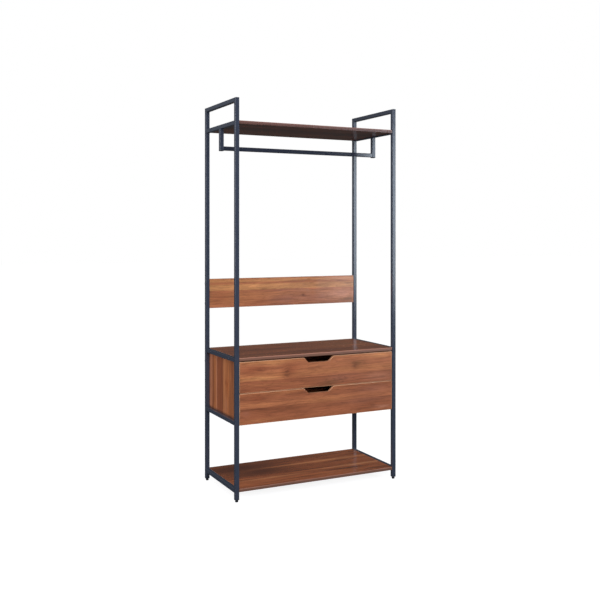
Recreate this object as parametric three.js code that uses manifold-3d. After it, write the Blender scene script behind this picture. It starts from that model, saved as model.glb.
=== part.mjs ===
// Open wardrobe stand, the kind sold as a hall tree: two welded steel side frames, a top shelf with a
// clothes rod under it, a back board, a unit with two drawers, a base shelf and four levelling feet.
// Millimetres. Origin at the middle of the footprint on the floor. +X right, -Y front, +Z up.

import * as THREE from "three";
import { mergeVertices } from "three/addons/utils/BufferGeometryUtils.js";
import Module from "manifold-3d";

const wasm = await Module();
wasm.setup();

// Overall
const WIDTH = 850;
const DEPTH = 400;
const HEIGHT = 1820;

// Square steel tube of the side frames and the rod
const TUBE = 19;
const TUBE_WALL = 1.2;
const TUBE_CORNER = 2;
const CORNER_STEPS = 3;
const MITRE_GAP = 0.3;
const SAME_HEIGHT = 0.01;
const SAME_POINT = 1e-4;

// Boards
const BOARD = 15;
const HARDBOARD = 3;
const DRAWER_BOARD = 12;
const FRONT_RECESS = 3;
const REAR_RECESS = 2;
const BACK_PANEL_RECESS = 1;
const BACK_PANEL_MARGIN = 2;
const CARCASS_BEHIND_FRONTS = 1;

// Heights
const SHELF_TOP = 1717;
const ROD_BOTTOM = 1598;
const BACK_BOARD_BOTTOM = 842;
const BACK_BOARD_TOP = 985;
const UNIT_TOP = 647;
const UNIT_BOTTOM = 343;
const BASE_TOP = 59;

// Levelling feet: a pad under the post, with a stem that screws into a plastic insert in the tube
const FOOT_HEIGHT = 10;
const PAD_RADIUS = 7;
const PAD_CHAMFER = 1.5;
const STEM_RADIUS = 3;
const STEM_LENGTH = 22;
const INSERT_FLANGE = 2.5;
const INSERT_LENGTH = 18;
const INSERT_GAP = 0.3;
const INSERT_BORE_RADIUS = 3.3;
const INSERT_PLUG_OVERLAP = 0.5;
const FOOT_SEGMENTS = 16;

// Drawers
const DRAWER_GAP = 2.5;
const TOP_GAP = 4.5;
const FRONT_SIDE_GAP = 2;
const BOX_LENGTH = 350;
const BOX_HEIGHT = 90;
const BOX_ABOVE_FRONT_BOTTOM = 21.25;
const GROOVE_HEIGHT = 3.5;
const GROOVE_DEPTH = 5;
const GROOVE_ABOVE_BOX_BOTTOM = 7.75;
const SHEET_PLAY = 0.5;

// Finger notch in the top edge of each drawer front
const NOTCH_TOP_WIDTH = 158;
const NOTCH_BOTTOM_WIDTH = 108;
const NOTCH_DEPTH = 24;
const NOTCH_CORNER = 7;
const NOTCH_CORNER_STEPS = 3;

// Roller runners. A section is drawn from the unit's side panel (0) towards the drawer.
const RUNNER_GAP = 12.5;
const RUNNER_STEEL = 1.25;
const RUNNER_LENGTH = 350;
const CHANNEL_BEHIND_FRONT = 2;
const CHANNEL_HEIGHT = 21.5;
const CHANNEL_DEPTH = 9.5;
const DRAWER_FLANGE_START = 3.5;
const DRAWER_FLANGE_TOP = 19.75;
const DRAWER_LIP = 9;
const ROLLER_RADIUS = 8.5;
const ROLLER_WIDTH = 6;
const ROLLER_BORE_RADIUS = 2.3;
const ROLLER_CHAMFER = 0.8;
const ROLLER_CENTRE_HEIGHT = 9.85;
const CABINET_ROLLER_START = 2;
const DRAWER_ROLLER_START = 2.75;
const AXLE_RADIUS = 2;
const AXLE_HEAD_RADIUS = 3.5;
const AXLE_HEAD = 0.75;
const AXLE_PLAY = 0.25;
const ROLLER_FROM_END = 12;
const FLANGE_SHORTER = 24;
const DRAWER_TRAVEL = 260;
const STOP_HEIGHT = 3;
const STOP_LENGTH = 3;
const STOP_PLAY = 0.5;
const ROLLER_SEGMENTS = 20;

// Places worked out from the sizes above
const INNER = WIDTH / 2 - TUBE;
const POST_X = WIDTH / 2 - TUBE / 2;
const POST_Y = DEPTH / 2 - TUBE / 2;
const RAIL_END = DEPTH / 2 - TUBE;
const BOARD_FRONT = -DEPTH / 2 + FRONT_RECESS;
const BOARD_REAR = DEPTH / 2 - REAR_RECESS;
const POST_BOTTOM = FOOT_HEIGHT + INSERT_FLANGE;
const UNIT_INNER = INNER - BOARD;
const UNIT_REAR = DEPTH / 2 - BACK_PANEL_RECESS - HARDBOARD;
const TOP_PANEL_BOTTOM = UNIT_TOP - BOARD;
const FRONT_REAR = BOARD_FRONT + BOARD;
const FRONT_HEIGHT = (TOP_PANEL_BOTTOM - UNIT_BOTTOM - DRAWER_GAP - TOP_GAP) / 2;
const BOX_HALF = UNIT_INNER - RUNNER_GAP;

const COLOURS = {
  powder_coat: { color: 0x434a59, roughness: 0.42, metalness: 0.35 },
  walnut: { color: 0x96613f, roughness: 0.45, metalness: 0 },
  hardboard: { color: 0x6b4a33, roughness: 0.85, metalness: 0 },
  runner_steel: { color: 0x3a3c40, roughness: 0.4, metalness: 0.5 },
  nylon: { color: 0xe9e7e0, roughness: 0.5, metalness: 0 },
  black_plastic: { color: 0x17181a, roughness: 0.55, metalness: 0 },
};

const stand = new THREE.Group();

function place(name, geometry, finish) {
  const mesh = new THREE.Mesh(geometry, new THREE.MeshStandardMaterial(COLOURS[finish]));
  mesh.name = name;
  stand.add(mesh);
}

// Turns a shape that was made along Z so that it runs along X or Y, by swapping coordinates.
function turnTo(axis, geometry) {
  const position = geometry.getAttribute("position");
  for (let i = 0; i < position.count; i++) {
    const [x, y, z] = [position.getX(i), position.getY(i), position.getZ(i)];
    if (axis === "x") position.setXYZ(i, z, x, y);
    if (axis === "y") position.setXYZ(i, y, z, x);
  }
  geometry.computeVertexNormals();
  return geometry;
}

function box(low, high) {
  const size = high.map((value, i) => value - low[i]);
  const middle = high.map((value, i) => (value + low[i]) / 2);
  return new THREE.BoxGeometry(...size).translate(...middle);
}

function solid(geometry) {
  const bare = new THREE.BufferGeometry();
  bare.setAttribute("position", geometry.getAttribute("position"));
  if (geometry.index) bare.setIndex(geometry.index);
  const merged = mergeVertices(bare, SAME_POINT);
  return new wasm.Manifold(
    new wasm.Mesh({
      numProp: 3,
      vertProperties: new Float32Array(merged.attributes.position.array),
      triVerts: new Uint32Array(merged.index.array),
    }),
  );
}

function geometryOf(body) {
  const mesh = body.getMesh();
  const geometry = new THREE.BufferGeometry();
  geometry.setAttribute("position", new THREE.BufferAttribute(mesh.vertProperties, 3));
  geometry.setIndex(new THREE.BufferAttribute(mesh.triVerts, 1));
  geometry.computeVertexNormals();
  return geometry;
}

// A square with rounded corners, centred on the origin.
function roundedSquare(path, size, corner) {
  const flat = size / 2 - corner;
  path.absarc(flat, flat, corner, 0, Math.PI / 2);
  path.absarc(-flat, flat, corner, Math.PI / 2, Math.PI);
  path.absarc(-flat, -flat, corner, Math.PI, 1.5 * Math.PI);
  path.absarc(flat, -flat, corner, 1.5 * Math.PI, 2 * Math.PI);
  path.closePath();
  return path;
}

// A length of hollow square tube along Z, centred on the axis, from z = 0 up.
function tube(length) {
  const section = roundedSquare(new THREE.Shape(), TUBE, TUBE_CORNER);
  const bore = roundedSquare(new THREE.Path(), TUBE - 2 * TUBE_WALL, TUBE_CORNER - TUBE_WALL);
  section.holes.push(bore);
  return new THREE.ExtrudeGeometry(section, {
    depth: length,
    bevelEnabled: false,
    curveSegments: CORNER_STEPS,
  });
}

// A post, with its top end cut at 45 degrees by sliding the vertices of that end along the tube.
function post(name, x, y) {
  const length = HEIGHT - POST_BOTTOM;
  const geometry = tube(length);
  const position = geometry.getAttribute("position");
  for (let i = 0; i < position.count; i++) {
    if (Math.abs(position.getZ(i) - length) > SAME_HEIGHT) continue;
    position.setZ(i, length + position.getY(i) - TUBE / 2 - MITRE_GAP / Math.SQRT2);
  }
  if (y < 0) geometry.rotateZ(Math.PI);
  geometry.translate(x, y, POST_BOTTOM);
  place(name, geometry, "powder_coat");
}

// The rail across the top of a side frame, mitred into both posts.
function topRail(name, x) {
  const geometry = turnTo("y", tube(DEPTH));
  const position = geometry.getAttribute("position");
  for (let i = 0; i < position.count; i++) {
    const fromEnd = TUBE / 2 - position.getZ(i) + MITRE_GAP / Math.SQRT2;
    const atFront = position.getY(i) < DEPTH / 2;
    position.setY(i, atFront ? fromEnd : DEPTH - fromEnd);
  }
  geometry.translate(x, -DEPTH / 2, HEIGHT - TUBE / 2);
  place(name, geometry, "powder_coat");
}

function rail(name, x, top) {
  const geometry = turnTo("y", tube(2 * RAIL_END));
  geometry.translate(x, -RAIL_END, top - TUBE / 2);
  place(name, geometry, "powder_coat");
}

function sideFrame(side, x) {
  post(`${side}_front_post`, x, -POST_Y);
  post(`${side}_rear_post`, x, POST_Y);
  topRail(`${side}_top_rail`, x);
  rail(`${side}_shelf_rail`, x, SHELF_TOP);
  rail(`${side}_unit_top_rail`, x, UNIT_TOP);
  rail(`${side}_unit_bottom_rail`, x, UNIT_BOTTOM + TUBE);
  rail(`${side}_base_rail`, x, BASE_TOP);
  const drop = tube(SHELF_TOP - TUBE - ROD_BOTTOM);
  drop.translate(x, 0, ROD_BOTTOM);
  place(`${side}_rod_drop`, drop, "powder_coat");
}

function hangingRod() {
  const geometry = turnTo("x", tube(2 * INNER));
  geometry.translate(-INNER, 0, ROD_BOTTOM + TUBE / 2);
  place("hanging_rod", geometry, "powder_coat");
}

function boards() {
  const across = (name, front, rear, bottom, top) =>
    place(name, box([-INNER, front, bottom], [INNER, rear, top]), "walnut");
  across("top_shelf", BOARD_FRONT, BOARD_REAR, SHELF_TOP - BOARD, SHELF_TOP);
  across("back_board", BOARD_REAR - BOARD, BOARD_REAR, BACK_BOARD_BOTTOM, BACK_BOARD_TOP);
  across("unit_top_panel", BOARD_FRONT, UNIT_REAR + HARDBOARD, TOP_PANEL_BOTTOM, UNIT_TOP);
  across("base_shelf", BOARD_FRONT, BOARD_REAR, BASE_TOP - BOARD, BASE_TOP);
}

function unitCarcass() {
  const front = FRONT_REAR + CARCASS_BEHIND_FRONTS;
  for (const [side, sign] of [["left", -1], ["right", 1]]) {
    const [near, far] = [sign * UNIT_INNER, sign * INNER].sort((a, b) => a - b);
    place(
      `unit_${side}_side`,
      box([near, front, UNIT_BOTTOM], [far, UNIT_REAR, TOP_PANEL_BOTTOM]),
      "walnut",
    );
  }
  place(
    "unit_bottom_panel",
    box([-UNIT_INNER, front, UNIT_BOTTOM], [UNIT_INNER, UNIT_REAR, UNIT_BOTTOM + BOARD]),
    "walnut",
  );
  place(
    "unit_back_panel",
    box(
      [-INNER + BACK_PANEL_MARGIN, UNIT_REAR, UNIT_BOTTOM + BACK_PANEL_MARGIN],
      [INNER - BACK_PANEL_MARGIN, UNIT_REAR + HARDBOARD, TOP_PANEL_BOTTOM],
    ),
    "hardboard",
  );
}

// One foot with its threaded insert, under the post at x, y.
function levellingFoot(corner, x, y) {
  const flange = new THREE.ExtrudeGeometry(roundedSquare(new THREE.Shape(), TUBE, TUBE_CORNER), {
    depth: INSERT_FLANGE,
    bevelEnabled: false,
    curveSegments: CORNER_STEPS,
  });
  const plugHalf = TUBE / 2 - TUBE_WALL - INSERT_GAP;
  const plugBottom = INSERT_FLANGE - INSERT_PLUG_OVERLAP;
  const plug = box([-plugHalf, -plugHalf, plugBottom], [plugHalf, plugHalf, INSERT_FLANGE + INSERT_LENGTH]);
  const boreLength = 3 * INSERT_LENGTH;
  const bore = new THREE.CylinderGeometry(INSERT_BORE_RADIUS, INSERT_BORE_RADIUS, boreLength, FOOT_SEGMENTS);
  bore.rotateX(Math.PI / 2);
  const insert = geometryOf(solid(flange).add(solid(plug)).subtract(solid(bore)));
  insert.translate(x, y, FOOT_HEIGHT);
  place(`${corner}_foot_insert`, insert, "black_plastic");

  const outline = [
    [0, 0],
    [PAD_RADIUS - PAD_CHAMFER, 0],
    [PAD_RADIUS, PAD_CHAMFER],
    [PAD_RADIUS, FOOT_HEIGHT - PAD_CHAMFER],
    [PAD_RADIUS - PAD_CHAMFER, FOOT_HEIGHT],
    [STEM_RADIUS, FOOT_HEIGHT],
    [STEM_RADIUS, FOOT_HEIGHT + STEM_LENGTH],
    [0, FOOT_HEIGHT + STEM_LENGTH],
  ].map(([r, z]) => new THREE.Vector2(r, z));
  const foot = new THREE.LatheGeometry(outline, FOOT_SEGMENTS);
  foot.rotateX(Math.PI / 2);
  foot.translate(x, y, 0);
  place(`${corner}_foot`, foot, "black_plastic");
}

// A drawer front: a board with a finger notch in its top edge and a groove behind for the bottom sheet.
function drawerFront(name, bottom) {
  const half = INNER - FRONT_SIDE_GAP;
  const top = bottom + FRONT_HEIGHT;
  const low = top - NOTCH_DEPTH;
  const wide = NOTCH_TOP_WIDTH / 2;
  const narrow = NOTCH_BOTTOM_WIDTH / 2;
  const slope = Math.atan2(NOTCH_DEPTH, wide - narrow);
  const tangent = NOTCH_CORNER * Math.tan(slope / 2);
  const outline = new THREE.Shape();
  outline.moveTo(-half, bottom);
  outline.lineTo(half, bottom);
  outline.lineTo(half, top);
  outline.lineTo(wide, top);
  outline.absarc(narrow - tangent, low + NOTCH_CORNER, NOTCH_CORNER, slope - Math.PI / 2, -Math.PI / 2, true);
  outline.absarc(
    -narrow + tangent,
    low + NOTCH_CORNER,
    NOTCH_CORNER,
    -Math.PI / 2,
    -Math.PI / 2 - slope,
    true,
  );
  outline.lineTo(-wide, top);
  outline.lineTo(-half, top);
  outline.closePath();
  const plate = new THREE.ExtrudeGeometry(outline, {
    depth: BOARD,
    bevelEnabled: false,
    curveSegments: NOTCH_CORNER_STEPS,
  });
  plate.rotateX(Math.PI / 2);
  plate.translate(0, FRONT_REAR, 0);
  const grooveHalf = BOX_HALF - DRAWER_BOARD + GROOVE_DEPTH;
  const grooveBottom = bottom + BOX_ABOVE_FRONT_BOTTOM + GROOVE_ABOVE_BOX_BOTTOM;
  const groove = box(
    [-grooveHalf, FRONT_REAR - GROOVE_DEPTH, grooveBottom],
    [grooveHalf, FRONT_REAR + BOARD, grooveBottom + GROOVE_HEIGHT],
  );
  place(name, geometryOf(solid(plate).subtract(solid(groove))), "walnut");
}

function drawerBox(level, frontBottom) {
  const bottom = frontBottom + BOX_ABOVE_FRONT_BOTTOM;
  const top = bottom + BOX_HEIGHT;
  const rear = FRONT_REAR + BOX_LENGTH;
  const grooveBottom = bottom + GROOVE_ABOVE_BOX_BOTTOM;
  const grooveTop = grooveBottom + GROOVE_HEIGHT;
  const inner = BOX_HALF - DRAWER_BOARD;
  for (const [side, sign] of [["left", -1], ["right", 1]]) {
    const section = new THREE.Shape();
    const corners = [
      [BOX_HALF, bottom],
      [BOX_HALF, top],
      [inner, top],
      [inner, grooveTop],
      [inner + GROOVE_DEPTH, grooveTop],
      [inner + GROOVE_DEPTH, grooveBottom],
      [inner, grooveBottom],
      [inner, bottom],
    ];
    corners.forEach(([x, z], i) => {
      if (i === 0) section.moveTo(sign * x, z);
      else section.lineTo(sign * x, z);
    });
    section.closePath();
    const wall = new THREE.ExtrudeGeometry(section, { depth: BOX_LENGTH, bevelEnabled: false });
    wall.rotateX(Math.PI / 2);
    wall.translate(0, rear, 0);
    place(`${level}_drawer_${side}_side`, wall, "walnut");
  }
  place(
    `${level}_drawer_back`,
    box([-inner, rear - DRAWER_BOARD, grooveTop], [inner, rear, top]),
    "walnut",
  );
  const sheetHalf = inner + GROOVE_DEPTH - SHEET_PLAY;
  const sheetBottom = grooveBottom + (GROOVE_HEIGHT - HARDBOARD) / 2;
  place(
    `${level}_drawer_bottom`,
    box(
      [-sheetHalf, FRONT_REAR - GROOVE_DEPTH + SHEET_PLAY, sheetBottom],
      [sheetHalf, rear, sheetBottom + HARDBOARD],
    ),
    "hardboard",
  );
}

// A bar of the given section, drawn as [distance from the unit's side, height] corners, along Y.
function runnerBar(corners, front, rear) {
  const section = new THREE.Shape(corners.map(([u, z]) => new THREE.Vector2(u, z)));
  const bar = new THREE.ExtrudeGeometry(section, { depth: rear - front, bevelEnabled: false });
  bar.rotateX(Math.PI / 2);
  bar.translate(0, rear, 0);
  return solid(bar);
}

// A round bar along X from u = start to u = end.
function roundBar(radius, start, end, y, z) {
  const bar = new THREE.CylinderGeometry(radius, radius, end - start, ROLLER_SEGMENTS);
  bar.rotateZ(Math.PI / 2);
  bar.translate((start + end) / 2, y, z);
  return solid(bar);
}

// The channel on the unit's side, with its front roller's axle and the bump that stops the drawer's roller.
function cabinetRunner(front, rollerY, drawerRollerY) {
  const steel = RUNNER_STEEL;
  const channel = [
    [0, 0],
    [CHANNEL_DEPTH, 0],
    [CHANNEL_DEPTH, steel],
    [steel, steel],
    [steel, CHANNEL_HEIGHT - steel],
    [CHANNEL_DEPTH, CHANNEL_HEIGHT - steel],
    [CHANNEL_DEPTH, CHANNEL_HEIGHT],
    [0, CHANNEL_HEIGHT],
  ];
  const stopTop = steel + STOP_HEIGHT;
  const reach = Math.sqrt(ROLLER_RADIUS ** 2 - (ROLLER_CENTRE_HEIGHT - stopTop) ** 2);
  const stopRear = drawerRollerY - DRAWER_TRAVEL - reach - STOP_PLAY;
  const bump = [
    [steel / 2, steel / 2],
    [CHANNEL_DEPTH, steel / 2],
    [CHANNEL_DEPTH, stopTop],
    [steel / 2, stopTop],
  ];
  const rollerEnd = CABINET_ROLLER_START + ROLLER_WIDTH + AXLE_PLAY;
  return runnerBar(channel, front, front + RUNNER_LENGTH)
    .add(runnerBar(bump, stopRear - STOP_LENGTH, stopRear))
    .add(roundBar(AXLE_RADIUS, steel / 2, rollerEnd + AXLE_HEAD, rollerY, ROLLER_CENTRE_HEIGHT))
    .add(roundBar(AXLE_HEAD_RADIUS, rollerEnd, rollerEnd + AXLE_HEAD, rollerY, ROLLER_CENTRE_HEIGHT));
}

// The profile on the drawer: a web against its side, a lip under it, a flange that runs on the front
// roller, and the axle of the rear roller.
function drawerRunner(front, rollerY) {
  const steel = RUNNER_STEEL;
  const outer = RUNNER_GAP;
  const web = [
    [outer - steel, 0],
    [outer + DRAWER_LIP, 0],
    [outer + DRAWER_LIP, steel],
    [outer, steel],
    [outer, DRAWER_FLANGE_TOP],
    [outer - steel, DRAWER_FLANGE_TOP],
  ];
  const flange = [
    [DRAWER_FLANGE_START, DRAWER_FLANGE_TOP - steel],
    [outer - steel / 2, DRAWER_FLANGE_TOP - steel],
    [outer - steel / 2, DRAWER_FLANGE_TOP],
    [DRAWER_FLANGE_START, DRAWER_FLANGE_TOP],
  ];
  const rear = front + RUNNER_LENGTH;
  const headEnd = DRAWER_ROLLER_START - AXLE_PLAY;
  return runnerBar(web, front, rear)
    .add(runnerBar(flange, front, rear - FLANGE_SHORTER))
    .add(roundBar(AXLE_RADIUS, headEnd - AXLE_HEAD, outer - steel / 2, rollerY, ROLLER_CENTRE_HEIGHT))
    .add(roundBar(AXLE_HEAD_RADIUS, headEnd - AXLE_HEAD, headEnd, rollerY, ROLLER_CENTRE_HEIGHT));
}

// A nylon roller on an axle along X, from u = start.
function roller(start, y) {
  const r = ROLLER_RADIUS;
  const outline = [
    [ROLLER_BORE_RADIUS, 0],
    [r - ROLLER_CHAMFER, 0],
    [r, ROLLER_CHAMFER],
    [r, ROLLER_WIDTH - ROLLER_CHAMFER],
    [r - ROLLER_CHAMFER, ROLLER_WIDTH],
    [ROLLER_BORE_RADIUS, ROLLER_WIDTH],
    [ROLLER_BORE_RADIUS, 0],
  ].map(([radius, along]) => new THREE.Vector2(radius, along));
  const wheel = new THREE.LatheGeometry(outline, ROLLER_SEGMENTS);
  wheel.rotateZ(-Math.PI / 2);
  wheel.translate(start, y, ROLLER_CENTRE_HEIGHT);
  return solid(wheel);
}

// The two runners of one drawer, each a channel on the unit and a profile on the drawer, with a roller
// on the front end of the channel and another on the rear end of the profile.
function drawerRunners(level, frontBottom) {
  const runnerBottom = frontBottom + BOX_ABOVE_FRONT_BOTTOM - RUNNER_STEEL;
  const channelFront = FRONT_REAR + CHANNEL_BEHIND_FRONT;
  const cabinetRollerY = channelFront + ROLLER_FROM_END;
  const profileFront = FRONT_REAR;
  const drawerRollerY = profileFront + RUNNER_LENGTH - ROLLER_FROM_END;
  const pieces = {
    cabinet_runner: [cabinetRunner(channelFront, cabinetRollerY, drawerRollerY), "runner_steel"],
    drawer_runner: [drawerRunner(profileFront, drawerRollerY), "runner_steel"],
    cabinet_roller: [roller(CABINET_ROLLER_START, cabinetRollerY), "nylon"],
    drawer_roller: [roller(DRAWER_ROLLER_START, drawerRollerY), "nylon"],
  };
  for (const [piece, [body, finish]] of Object.entries(pieces)) {
    const left = body.translate([-UNIT_INNER, 0, runnerBottom]);
    place(`${level}_left_${piece}`, geometryOf(left), finish);
    place(`${level}_right_${piece}`, geometryOf(left.mirror([1, 0, 0])), finish);
  }
}

sideFrame("left", -POST_X);
sideFrame("right", POST_X);
hangingRod();
boards();
unitCarcass();
for (const [side, x] of [["left", -POST_X], ["right", POST_X]]) {
  levellingFoot(`${side}_front`, x, -POST_Y);
  levellingFoot(`${side}_rear`, x, POST_Y);
}
const lowerFrontBottom = UNIT_BOTTOM;
const upperFrontBottom = UNIT_BOTTOM + FRONT_HEIGHT + DRAWER_GAP;
for (const [level, frontBottom] of [["lower", lowerFrontBottom], ["upper", upperFrontBottom]]) {
  drawerFront(`${level}_drawer_front`, frontBottom);
  drawerBox(level, frontBottom);
  drawerRunners(level, frontBottom);
}

export default stand;
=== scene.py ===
"""Looks of the open wardrobe stand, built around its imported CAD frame.

Metres, +X right, -Y front, +Z up. Every piece is built in place in the frame's coordinates, with its
object at the origin, so that object coordinates in the materials are places on the stand.
"""

import math
from collections import namedtuple

import bmesh
import bpy
from mathutils import Matrix, Vector


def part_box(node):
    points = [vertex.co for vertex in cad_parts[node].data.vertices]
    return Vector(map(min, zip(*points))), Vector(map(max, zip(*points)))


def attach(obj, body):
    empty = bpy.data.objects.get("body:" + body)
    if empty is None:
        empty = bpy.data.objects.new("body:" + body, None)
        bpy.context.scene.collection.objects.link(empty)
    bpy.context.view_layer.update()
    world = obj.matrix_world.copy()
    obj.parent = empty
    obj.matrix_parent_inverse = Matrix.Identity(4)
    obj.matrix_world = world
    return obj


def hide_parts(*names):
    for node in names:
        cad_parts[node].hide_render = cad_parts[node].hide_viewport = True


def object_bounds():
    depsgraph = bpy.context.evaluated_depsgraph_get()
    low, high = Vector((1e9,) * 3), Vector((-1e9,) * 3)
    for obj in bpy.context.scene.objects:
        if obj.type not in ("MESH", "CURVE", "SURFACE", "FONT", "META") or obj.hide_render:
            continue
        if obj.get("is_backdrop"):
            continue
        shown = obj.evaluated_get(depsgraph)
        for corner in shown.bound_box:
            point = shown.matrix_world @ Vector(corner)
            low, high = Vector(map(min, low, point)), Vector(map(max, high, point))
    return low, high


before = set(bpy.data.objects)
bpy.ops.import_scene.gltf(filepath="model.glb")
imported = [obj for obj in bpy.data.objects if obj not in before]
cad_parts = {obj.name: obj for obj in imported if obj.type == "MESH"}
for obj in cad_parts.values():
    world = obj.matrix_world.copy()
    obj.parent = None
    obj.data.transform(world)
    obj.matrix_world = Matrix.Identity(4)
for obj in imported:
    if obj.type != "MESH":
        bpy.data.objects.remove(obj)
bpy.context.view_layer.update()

MM = 0.001
SIDES = (("left", -1), ("right", 1))
CORNERS = ("left_front", "left_rear", "right_front", "right_rear")
LEVELS = ("lower", "upper")
AXES = "xyz"

# ---------------------------------------------------------------- materials


class Graph:
    """A material's node tree, with short ways to add the nodes that these materials use."""

    def __init__(self, name):
        self.material = bpy.data.materials.new(name)
        self.material.use_nodes = True
        self.tree = self.material.node_tree
        self.tree.nodes.clear()
        self.output = self.add("ShaderNodeOutputMaterial")
        self.shader = self.add("ShaderNodeBsdfPrincipled")
        self.tree.links.new(self.shader.outputs[0], self.output.inputs["Surface"])
        self.point = self.add("ShaderNodeTexCoord").outputs["Object"]

    def add(self, kind, **settings):
        node = self.tree.nodes.new(kind)
        for key, value in settings.items():
            setattr(node, key, value)
        return node

    def put(self, value, socket):
        if isinstance(value, bpy.types.NodeSocket):
            self.tree.links.new(value, socket)
        else:
            socket.default_value = value

    def set(self, **values):
        for key, value in values.items():
            self.put(value, self.shader.inputs[key.replace("_", " ")])

    def math(self, operation, a, b=0.0, c=0.0):
        node = self.add("ShaderNodeMath", operation=operation)
        for value, socket in zip((a, b, c), node.inputs):
            self.put(value, socket)
        return node.outputs[0]

    def axes(self):
        node = self.add("ShaderNodeSeparateXYZ")
        self.put(self.point, node.inputs[0])
        return list(node.outputs)

    def vector(self, x, y, z):
        node = self.add("ShaderNodeCombineXYZ")
        for value, socket in zip((x, y, z), node.inputs):
            self.put(value, socket)
        return node.outputs[0]

    def noise(self, vector, scale=1.0, detail=2.0, roughness=0.5, distortion=0.0):
        node = self.add("ShaderNodeTexNoise", noise_dimensions="3D")
        self.put(vector, node.inputs["Vector"])
        for key, value in (
            ("Scale", scale),
            ("Detail", detail),
            ("Roughness", roughness),
            ("Distortion", distortion),
        ):
            self.put(value, node.inputs[key])
        return node.outputs[0]

    def span(self, value, low, high, to_low=0.0, to_high=1.0, smooth=False):
        node = self.add("ShaderNodeMapRange", clamp=True)
        if smooth:
            node.interpolation_type = "SMOOTHSTEP"
        for v, socket in zip((value, low, high, to_low, to_high), node.inputs):
            self.put(v, socket)
        return node.outputs[0]

    def ramp(self, value, stops):
        node = self.add("ShaderNodeValToRGB")
        elements = node.color_ramp.elements
        while len(elements) < len(stops):
            elements.new(1.0)
        for element, (place, colour) in zip(elements, stops):
            element.position = place
            element.color = (*colour, 1.0)
        self.put(value, node.inputs[0])
        return node.outputs[0]

    def mix(self, factor, a, b):
        node = self.add("ShaderNodeMix", data_type="RGBA")
        for value, socket in ((factor, 0), (a, 6), (b, 7)):
            if isinstance(value, tuple):
                value = (*value, 1.0)
            self.put(value, node.inputs[socket])
        return node.outputs[2]

    def scale_colour(self, colour, factor):
        node = self.add("ShaderNodeVectorMath", operation="SCALE")
        self.put(colour, node.inputs[0])
        self.put(factor, node.inputs["Scale"])
        return node.outputs[0]

    def bump(self, height, distance, strength):
        node = self.add("ShaderNodeBump")
        self.put(strength, node.inputs["Strength"])
        self.put(distance, node.inputs["Distance"])
        self.put(height, node.inputs["Height"])
        self.put(node.outputs[0], self.shader.inputs["Normal"])


def srgb(red, green, blue):
    """A linear colour from 8-bit display values."""
    values = (red / 255, green / 255, blue / 255)
    return tuple(v / 12.92 if v <= 0.04045 else ((v + 0.055) / 1.055) ** 2.4 for v in values)


def around(g, factor, amount):
    """A factor of 0..1 as a multiplier centred on 1."""
    return g.math("MULTIPLY_ADD", factor, amount, 1.0 - amount / 2)


def centred(g, noise, width, value):
    """A value moved to both sides by a noise, over a width in all."""
    return g.math("MULTIPLY_ADD", noise, width, g.math("ADD", value, -width / 2))


WANDER = 24 * MM
WANDER_MIDDLE = 15 * MM
RAGGED = 6 * MM
SEAM_WANDER = 3 * MM
MARK_WANDER_ALONG = 50 * MM
MARK_WANDER_ACROSS = 12 * MM
GROWTH_RINGS = 24.0
HEARTWOOD = srgb(104, 58, 42)
PORE_DEPTH = 0.04 * MM

Mark = namedtuple("Mark", "u v length width depth colour bend", defaults=(0.0,))


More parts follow.
